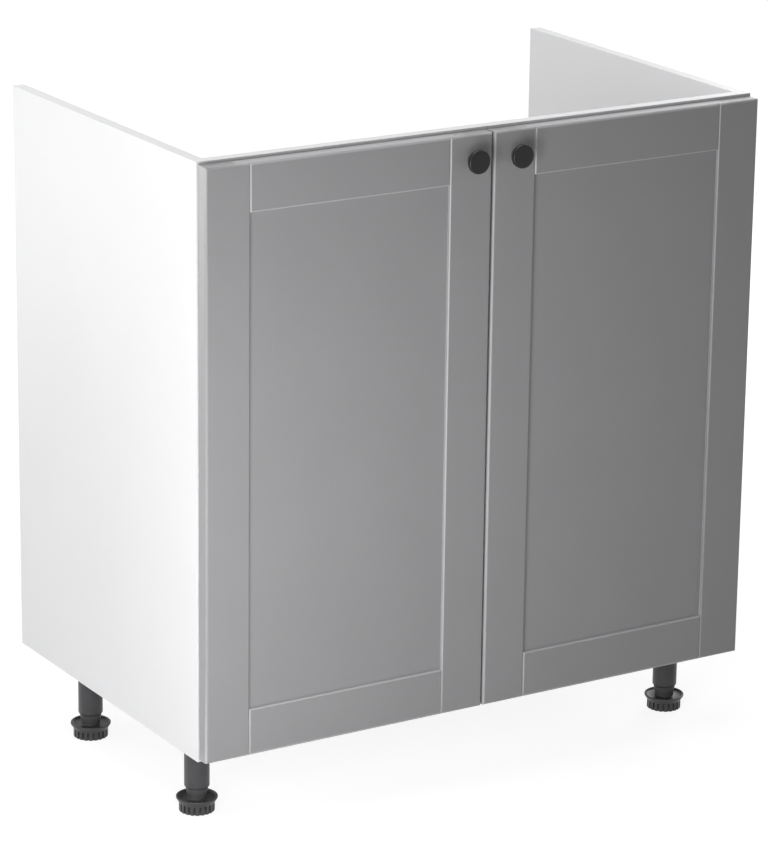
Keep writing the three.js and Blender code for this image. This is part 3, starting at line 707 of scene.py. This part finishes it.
class CABINET_OT_legs(bpy.types.Operator):
    """Turns the leg tubes, the sockets and the feet with their ribbed grip rings"""

    bl_idname = "cabinet.legs"
    bl_label = "Legs"

    def execute(self, context):
        patterns = {"tube": self.tube(), "socket": self.socket(), "foot": self.foot()}
        for leg in LEGS:
            for part, pattern in patterns.items():
                node = f"leg_{leg}_{part}"
                centre = centre_of(node)
                move = Matrix.Translation((centre.x, centre.y, 0))
                piece = copy_at(pattern, "fine_" + node, move)
                dress(piece, finish("dark_plastic"), body_of(node))
                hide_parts(node)
        for pattern in patterns.values():
            discard(pattern)
        return {"FINISHED"}

    def tube(self):
        """A leg tube at its height, round the Z axis."""
        mm = MILLIMETRE
        low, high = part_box("leg_front_left_tube")
        outer = (high[0] - low[0]) / 2
        bottom, top = low[2], high[2]
        narrow, wide, step = 11.2 * mm, 13 * mm, 66 * mm
        profile = [(narrow, bottom), (outer - 1.85 * mm, bottom), (outer - 1.55 * mm, bottom + 0.2 * mm)]
        profile += [(outer - 0.12 * mm, bottom + 2.0 * mm), (outer, bottom + 2.5 * mm)]
        profile += [(outer, top - 0.4 * mm), (outer - 0.4 * mm, top), (wide, top)]
        profile += [(wide, step), (narrow, step - 1.5 * mm), (narrow, bottom)]
        piece = turned("tube", profile, 80)
        smooth(piece, 40)
        return piece

    def socket(self):
        """A leg socket at its height, round the Z axis."""
        mm = MILLIMETRE
        low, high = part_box("leg_front_left_socket")
        flange = (high[0] - low[0]) / 2
        under = high[2] - 3.5 * mm
        spigot = 12.8 * mm
        hollow = 10.6 * mm
        profile = [(0, high[2]), (flange, high[2])]
        profile += arc((flange - 1.2 * mm, under + 1.2 * mm), 1.2 * mm, 0, -90, 4)
        profile += [(spigot, under), (spigot, low[2] + 1.5 * mm), (spigot - 0.7 * mm, low[2])]
        profile += [(hollow, low[2]), (hollow, under + 1.5 * mm), (0, under + 1.5 * mm)]
        piece = turned("socket", profile, 64)
        smooth(piece, 40)
        return piece

    def foot(self):
        """One foot, standing on z = 0 round the Z axis."""
        mm = MILLIMETRE
        low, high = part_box("leg_front_left_foot")
        flange = (high[0] - low[0]) / 2
        ring = flange - 3.7 * mm
        rim = flange - 1.6 * mm
        profile = [(0, 0.6 * mm), (ring - 5 * mm, 0.6 * mm), (ring - 4.4 * mm, 0), (ring - 0.5 * mm, 0)]
        profile += [(ring, 0.5 * mm), (ring, 11.1 * mm), (ring + 0.3 * mm, 11.5 * mm)]
        profile += [(ring + 1.2 * mm, 13.2 * mm), (ring + 2.3 * mm, 15 * mm), (flange - 0.4 * mm, 16.4 * mm)]
        profile += [(flange, 17.1 * mm)]
        profile += arc((flange - 0.6 * mm, 18.4 * mm), 0.6 * mm, 0, 90, 3)
        profile += [(rim + 0.25 * mm, 19 * mm), (rim, 18.8 * mm), (rim - 0.5 * mm, 18.1 * mm)]
        profile += [(rim - 1.4 * mm, 17.3 * mm), (rim - 2.4 * mm, 16.75 * mm), (rim - 3.4 * mm, 16.5 * mm)]
        profile += arc((13.2 * mm, 17.7 * mm), 1.2 * mm, 270, 185, 4)
        profile += [(14.25 * mm, 30.6 * mm), (13.9 * mm, 31 * mm), (11 * mm, 31 * mm)]
        stem, thread = 11 * mm, 0.9 * mm
        z = 31.6 * mm
        while z < high[2] - 4 * mm:
            profile += [(stem, z), (stem, z + 0.7 * mm)]
            profile += [(stem - thread, z + 1.3 * mm), (stem - thread, z + 1.9 * mm)]
            z += 2.5 * mm
        profile += [(stem - thread, high[2]), (0, high[2])]
        piece = turned("foot", profile, 4 * sizes().rib_count)
        combine(piece, self.slots(ring), "DIFFERENCE")
        soften(piece, 0.2 * mm, 62, 1)
        smooth(piece, 38)
        return piece

    def slots(self, ring):
        """The cutter for the slots of a grip ring, open at the bottom."""
        mm = MILLIMETRE
        depth = sizes().rib_depth
        count = sizes().rib_count
        deselect()
        bpy.ops.mesh.primitive_cube_add(size=1, location=(ring - depth + 2 * mm, 0, 5 * mm))
        bar = named("slot")
        bar.scale = (4 * mm, 3.1 * mm, 12 * mm)
        settle(bar)
        choose_faces(bar, lambda face: face.normal.x < -0.5)
        edit(bar, "FACE")
        bpy.ops.transform.resize(value=(1, 0.8, 1))
        leave()
        bars = [bar]
        for k in range(1, count):
            turn = Matrix.Rotation(2 * math.pi * k / count, 4, "Z")
            bars.append(copy_at(bar, f"slot_{k}", turn))
        only(bar)
        for copy in bars:
            copy.select_set(True)
        bpy.ops.object.join()
        return bar


class CABINET_OT_fittings(bpy.types.Operator):
    """Makes the screws of hinges and legs, the door bumpers, the cam bolts and the dowels"""

    bl_idname = "cabinet.fittings"
    bl_label = "Fittings"

    def execute(self, context):
        self.hinge_and_leg_screws()
        self.bumpers()
        self.board_fittings()
        return {"FINISHED"}

    def screw(self, name, length_below, head_height):
        """A pan-head screw that points down, with the underside of its head on z = 0."""
        mm = MILLIMETRE
        head = sizes().screw_head / 2
        shaft = sizes().screw_shaft / 2
        profile = [(0, -length_below)]
        z = -length_below + 3 * mm
        core = shaft - 0.5 * mm
        while z < -1.6 * mm:
            profile += [(core, z), (shaft, z + 0.45 * mm), (core, z + 0.9 * mm)]
            z += 1.3 * mm
        profile += [(shaft * 0.9, -0.6 * mm), (shaft * 0.9, 0), (head - 0.2 * mm, 0), (head, 0.25 * mm)]
        profile += [(head, head_height * 0.35), (head * 0.93, head_height * 0.66)]
        profile += [(head * 0.72, head_height * 0.9), (head * 0.4, head_height), (0, head_height)]
        piece = turned(name, profile, 28)
        cutter = cross_cutter(head * 1.15, 0.75 * mm, head_height * 0.35, head_height * 2)
        combine(piece, cutter, "DIFFERENCE")
        smooth(piece)
        return piece

    def hinge_and_leg_screws(self):
        """The screws of the cups, plates, arms and sockets; each head stands just clear of its seat."""
        mm = MILLIMETRE
        thin = self.screw("thin_screw", 11.5 * mm, 0.95 * mm)
        full = self.screw("full_screw", 12 * mm, 1.9 * mm)
        short = self.screw("short_screw", 0.4 * mm, 1.1 * mm)
        for side, sign in zip(SIDES, (-1, 1)):
            sideways = Matrix.Rotation(math.radians(-90 * sign), 4, "Y")
            backwards = Matrix.Rotation(math.radians(-90), 4, "X")
            for level in LEVELS:
                end = f"{side}_{level}"
                centre = centre_of(f"hinge_{end}_cup")
                x = centre.x - sign * CUP_SCREW_ASIDE
                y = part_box(f"hinge_{end}_cup")[1][1] + 0.02 * mm
                for k, dz in enumerate((-CUP_SCREW_RISE, CUP_SCREW_RISE)):
                    place = Matrix.Translation((x, y, centre.z + dz)) @ backwards
                    self.put(thin, f"cup_screw_{end}_{k + 1}", place, side + "_door")
                low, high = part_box(f"hinge_{end}_plate")
                panel = low[0] if side == "left" else high[0]
                x = panel - sign * PLATE_FACE
                for k, dz in enumerate((-PLATE_SCREW_RISE, PLATE_SCREW_RISE)):
                    place = Matrix.Translation((x, low[1] + PLATE_SCREW_DEPTH, centre.z + dz)) @ sideways
                    self.put(full, f"plate_screw_{end}_{k + 1}", place, "carcass")
                x = panel - sign * ARM_FACE
                for k, dy in enumerate(ARM_SCREW_DEPTHS):
                    place = Matrix.Translation((x, low[1] + dy, centre.z)) @ sideways
                    self.put(short, f"arm_screw_{end}_{k + 1}", place, "carcass")
        downwards = Matrix.Rotation(math.pi, 4, "X")
        for leg in LEGS:
            node = f"leg_{leg}_socket"
            centre = centre_of(node)
            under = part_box(node)[1][2] - SOCKET_FACE
            for k in range(4):
                angle = math.radians(45 + 90 * k)
                x = centre.x + LEG_SCREW_RADIUS * math.cos(angle)
                y = centre.y + LEG_SCREW_RADIUS * math.sin(angle)
                place = Matrix.Translation((x, y, under)) @ downwards
                self.put(full, f"leg_screw_{leg}_{k + 1}", place, "carcass")
        for pattern in (thin, full, short):
            discard(pattern)

    def bumpers(self):
        """Soft pads on the backs of the doors, beside the meeting edges."""
        mm = MILLIMETRE
        radius = sizes().bumper / 2
        profile = [(0, 0), (radius - 0.1 * mm, 0), (radius, 0.1 * mm), (radius, 0.45 * mm)]
        profile += [(radius * 0.93, 0.85 * mm), (radius * 0.74, 1.18 * mm)]
        profile += [(radius * 0.42, 1.42 * mm), (0, 1.5 * mm)]
        pad = turned("bumper", profile, 32)
        smooth(pad, 50)
        turn = Matrix.Rotation(math.radians(-90), 4, "X")
        for side, sign in zip(SIDES, (-1, 1)):
            low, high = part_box(f"door_{side}_meeting_stile")
            edge = high[0] if side == "left" else low[0]
            for level, z in zip(LEVELS, (low[2] + 6 * mm, high[2] - 15 * mm)):
                place = Matrix.Translation((edge + sign * BUMPER_INSET, high[1], z)) @ turn
                self.put(pad, f"bumper_{side}_{level}", place, side + "_door", "dark_plastic")
        discard(pad)

    def put(self, pattern, name, matrix, body, slot="plated_steel"):
        """A copy of a pattern in its finish, in the body that it moves with."""
        piece = copy_at(pattern, name, matrix)
        dress(piece, finish(slot), body)

    def bolt(self):
        """A cam bolt along the Z axis: threaded below z = 0, with its neck and head at the top."""
        mm = MILLIMETRE
        profile = [(0, -10 * mm)]
        z = -9.4 * mm
        while z < -1.2 * mm:
            profile += [(1.9 * mm, z), (2.45 * mm, z + 0.6 * mm), (1.9 * mm, z + 1.2 * mm)]
            z += 1.5 * mm
        profile += [(2.45 * mm, 0.2 * mm), (2.9 * mm, 0.3 * mm), (2.9 * mm, 25.5 * mm), (1.7 * mm, 26.5 * mm)]
        profile += [(1.7 * mm, 30.2 * mm), (3.3 * mm, 31.4 * mm), (3.3 * mm, 34.2 * mm)]
        profile += [(2.6 * mm, 34.9 * mm), (0, 34.9 * mm)]
        piece = turned("bolt", profile, 24)
        smooth(piece)
        return piece

    def dowel(self):
        """A fluted dowel along the Z axis, a third of it below z = 0."""
        mm = MILLIMETRE
        profile = [(0, -10 * mm), (3 * mm, -10 * mm), (3.85 * mm, -9 * mm), (3.85 * mm, 19 * mm)]
        profile += [(3 * mm, 20 * mm), (0, 20 * mm)]
        piece = turned("dowel", profile, DOWEL_SIDES)
        choose_faces(piece, lambda face: abs(face.normal.z) < 0.1 and self.fluted(face.center))
        edit(piece, "FACE")
        bpy.ops.mesh.extrude_region_shrink_fatten(TRANSFORM_OT_shrink_fatten={"value": -0.25 * mm})
        leave()
        smooth(piece, 30)
        return piece

    def fluted(self, centre):
        """True for every fourth column of faces round a dowel."""
        column = int(round(math.atan2(centre.y, centre.x) / (2 * math.pi / DOWEL_SIDES) - 0.5))
        return column % 4 == 0

    def board_fittings(self):
        """The cam bolts and dowels that join the boards to the side panels."""
        bolt = self.bolt()
        dowel = self.dowel()
        inner = abs(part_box("side_panel_left")[1][0])
        bottom = centre_of("bottom_panel")
        reach = bottom.y - centre_of("cam_lock_bottom_front_left").y
        bolts = [(bottom.y - reach, bottom.z), (bottom.y + reach, bottom.z)]
        offsets = (-BOTTOM_DOWEL_REACH, 0, BOTTOM_DOWEL_REACH)
        dowels = [(bottom.y + offset, bottom.z) for offset in offsets]
        for rail in (centre_of("front_top_rail"), centre_of("rear_rail")):
            bolts.append((rail.y, rail.z))
            dowels += [(rail.y, rail.z - RAIL_DOWEL_REACH), (rail.y, rail.z + RAIL_DOWEL_REACH)]
        for side, sign in zip(SIDES, (-1, 1)):
            turn = Matrix.Rotation(math.radians(-90 * sign), 4, "Y")
            for k, (y, z) in enumerate(bolts):
                place = Matrix.Translation((sign * inner, y, z)) @ turn
                self.put(bolt, f"cam_bolt_{side}_{k + 1}", place, "carcass")
            for k, (y, z) in enumerate(dowels):
                place = Matrix.Translation((sign * inner, y, z)) @ turn
                self.put(dowel, f"dowel_{side}_{k + 1}", place, "carcass", "beech")
        discard(bolt)
        discard(dowel)


# ---------------------------------------------------------------- studio


# Each lamp's place, the point that it faces, and its width and height.
LAMPS = {
    "key": ((-0.69, -0.9, 0.42), (-0.05, 0.1, 0.5), (0.72, 0.75)),
    "side": ((-3, 0.45, 1.0), (-0.4, 0, 0.5), (1.42, 1.42)),
    "edge": ((-1.77, 2.21, 0.42), (-0.4, 0, 0.35), (0.5, 0.8)),
    "strip": ((-2.2, -1.7, 0.75), (0, -0.2, 0.5), (0.25, 1.3)),
    "top": ((-0.3, 0.3, 3.2), (0, 0, 0.4), (1.95, 1.95)),
    "rear": ((2.5, 1.5, 1.5), (0.2, 0, 0.4), (1.4, 1.4)),
}

# The camera's bearing, height and roll in degrees, the point that it circles, and its place from there.
CAMERA_ANGLES = (-31.68, 17.14, 0.73)
CAMERA_CENTRE = (0, 0.03, 0.46)
CAMERA_BACK, CAMERA_RIGHT, CAMERA_UP = 4.997, 0.0131, -0.0545

# The paper glows less near the cabinet than farther out, where it runs into the white behind.
FLOOR_SIZE = 24
PAPER_NEAR, PAPER_FAR = 1.1, 2.4
PAPER_GLOW_NEAR, PAPER_GLOW_FAR = 0.86, 1
PAPER_COLOUR = (0.3, 0.3, 0.3, 1)


class CABINET_OT_studio(bpy.types.Operator):
    """Sets the pale floor, the soft lamps and the camera"""

    bl_idname = "cabinet.studio"
    bl_label = "Studio and Camera"

    def execute(self, context):
        settings = context.scene.cabinet_studio
        self.floor()
        self.surround(settings.ambient)
        for name, (place, aim, size) in LAMPS.items():
            self.lamp(name + "_lamp", place, aim, size, getattr(settings, name + "_power"))
        self.camera(settings.lens)
        context.scene.view_settings.view_transform = "Standard"
        return {"FINISHED"}

    def seen(self, tree):
        """1 for the rays that show the stage itself: from the camera, in reflections and through glass."""
        path = tree.nodes.new("ShaderNodeLightPath")
        value = path.outputs["Is Camera Ray"]
        for name in ("Is Glossy Ray", "Is Transmission Ray"):
            larger = tree.nodes.new("ShaderNodeMath")
            larger.operation = "MAXIMUM"
            tree.links.new(value, larger.inputs[0])
            tree.links.new(path.outputs[name], larger.inputs[1])
            value = larger.outputs[0]
        return value

    def floor(self):
        """White paper where it is seen, which still takes the shadow, and a plain grey bounce of light."""
        deselect()
        bpy.ops.mesh.primitive_plane_add(size=FLOOR_SIZE, location=(0, 0, -0.0005))
        floor = named("studio_floor")
        edit(floor, "EDGE")
        bpy.ops.mesh.select_all(action="SELECT")
        bpy.ops.mesh.subdivide(number_cuts=3)
        leave()
        settle(floor)
        n = Nodes("studio_paper")
        base = colours().floor
        colour = n.mixed(n.between(n.noise(3, 3), 0, 1), tone(base, 0.99), base)
        roughness = n.between(n.noise(200, 2), 0.85, 0.95)
        n.bump([(n.noise(500, 2), 0.02, 0.0001)])
        material = n.finish(colour, roughness, Specular_IOR_Level=0)
        distance = n.add("ShaderNodeVectorMath", operation="LENGTH")
        n.link(n.place, distance.inputs[0])
        glow = n.add("ShaderNodeEmission")
        glows = (PAPER_GLOW_NEAR, PAPER_GLOW_FAR)
        n.link(n.between(distance.outputs["Value"], *glows, PAPER_NEAR, PAPER_FAR), glow.inputs["Strength"])
        paper = n.add("ShaderNodeBsdfDiffuse")
        paper.inputs["Color"].default_value = PAPER_COLOUR
        both = n.add("ShaderNodeAddShader")
        n.link(glow.outputs[0], both.inputs[0])
        n.link(paper.outputs[0], both.inputs[1])
        mix = n.add("ShaderNodeMixShader")
        n.link(self.seen(n.tree), mix.inputs[0])
        n.link(n.shader.outputs[0], mix.inputs[1])
        n.link(both.outputs[0], mix.inputs[2])
        n.link(mix.outputs[0], n.tree.nodes["Material Output"].inputs["Surface"])
        floor.data.materials.append(material)

    def surround(self, ambient):
        """A weak even light from all round, which is white where it is seen."""
        world = bpy.context.scene.world or bpy.data.worlds.new("studio")
        bpy.context.scene.world = world
        world.use_nodes = True
        tree = world.node_tree
        tree.nodes.clear()
        output = tree.nodes.new("ShaderNodeOutputWorld")
        mix = tree.nodes.new("ShaderNodeMixShader")
        tree.links.new(self.seen(tree), mix.inputs[0])
        for socket, strength in ((mix.inputs[1], ambient), (mix.inputs[2], 1)):
            light = tree.nodes.new("ShaderNodeBackground")
            light.inputs["Color"].default_value = (1, 1, 1, 1)
            light.inputs["Strength"].default_value = strength
            tree.links.new(light.outputs[0], socket)
        tree.links.new(mix.outputs[0], output.inputs["Surface"])

    def lamp(self, name, place, aim, size, power):
        """A soft rectangular lamp that the camera doesn't see."""
        light = bpy.data.lights.new(name, "AREA")
        light.shape = "RECTANGLE"
        light.size, light.size_y = size
        light.energy = power
        lamp = bpy.data.objects.new(name, light)
        bpy.context.collection.objects.link(lamp)
        direction = Vector(aim) - Vector(place)
        lamp.matrix_world = Matrix.Translation(place) @ direction.to_track_quat("-Z", "Y").to_matrix().to_4x4()
        lamp.visible_camera = False

    def camera(self, lens):
        """A long lens at the photograph's height and bearing, with a slight tilt."""
        azimuth, elevation, roll = (math.radians(angle) for angle in CAMERA_ANGLES)
        along = math.cos(elevation)
        back = Vector((math.sin(azimuth) * along, -math.cos(azimuth) * along, math.sin(elevation)))
        right = Vector((math.cos(azimuth), math.sin(azimuth), 0))
        up = back.cross(right)
        place = Vector(CAMERA_CENTRE) + CAMERA_BACK * back + CAMERA_RIGHT * right + CAMERA_UP * up
        tilted_right = right * math.cos(roll) + up * math.sin(roll)
        tilted_up = up * math.cos(roll) - right * math.sin(roll)
        data = bpy.data.cameras.new("camera")
        data.lens = lens
        data.sensor_fit = "AUTO"
        data.sensor_width = 36
        data.clip_end = 60
        camera = bpy.data.objects.new("camera", data)
        bpy.context.collection.objects.link(camera)
        axes = Matrix((tilted_right, tilted_up, back)).transposed().to_4x4()
        camera.matrix_world = Matrix.Translation(place) @ axes
        bpy.context.scene.camera = camera


# ---------------------------------------------------------------- panel and start


STEPS = (
    CABINET_OT_boards,
    CABINET_OT_doors,
    CABINET_OT_knobs,
    CABINET_OT_hinges,
    CABINET_OT_legs,
    CABINET_OT_fittings,
    CABINET_OT_studio,
)


class CABINET_PT_panel(bpy.types.Panel):
    """Lists the settings and the steps that build the cabinet"""

    bl_idname = "CABINET_PT_panel"
    bl_label = "Sink Base Cabinet"
    bl_space_type = "VIEW_3D"
    bl_region_type = "UI"
    bl_category = "Cabinet"

    def draw(self, context):
        scene = context.scene
        for settings in (scene.cabinet_sizes, scene.cabinet_colours, scene.cabinet_studio):
            box = self.layout.box()
            for key in settings.__annotations__:
                box.prop(settings, key)
        for step in STEPS:
            self.layout.operator(step.bl_idname)


SETTINGS = (CabinetSizes, CabinetColours, CabinetStudio)


def register():
    for item in (*SETTINGS, *STEPS, CABINET_PT_panel):
        bpy.utils.register_class(item)
    bpy.types.Scene.cabinet_sizes = PointerProperty(type=CabinetSizes)
    bpy.types.Scene.cabinet_colours = PointerProperty(type=CabinetColours)
    bpy.types.Scene.cabinet_studio = PointerProperty(type=CabinetStudio)


def unregister():
    del bpy.types.Scene.cabinet_studio
    del bpy.types.Scene.cabinet_colours
    del bpy.types.Scene.cabinet_sizes
    for item in reversed((*SETTINGS, *STEPS, CABINET_PT_panel)):
        bpy.utils.unregister_class(item)


def main():
    register()
    bpy.ops.cabinet.boards()
    bpy.ops.cabinet.doors()
    bpy.ops.cabinet.knobs()
    bpy.ops.cabinet.hinges()
    bpy.ops.cabinet.legs()
    bpy.ops.cabinet.fittings()
    bpy.ops.cabinet.studio()


if __name__ == "__main__":
    main()
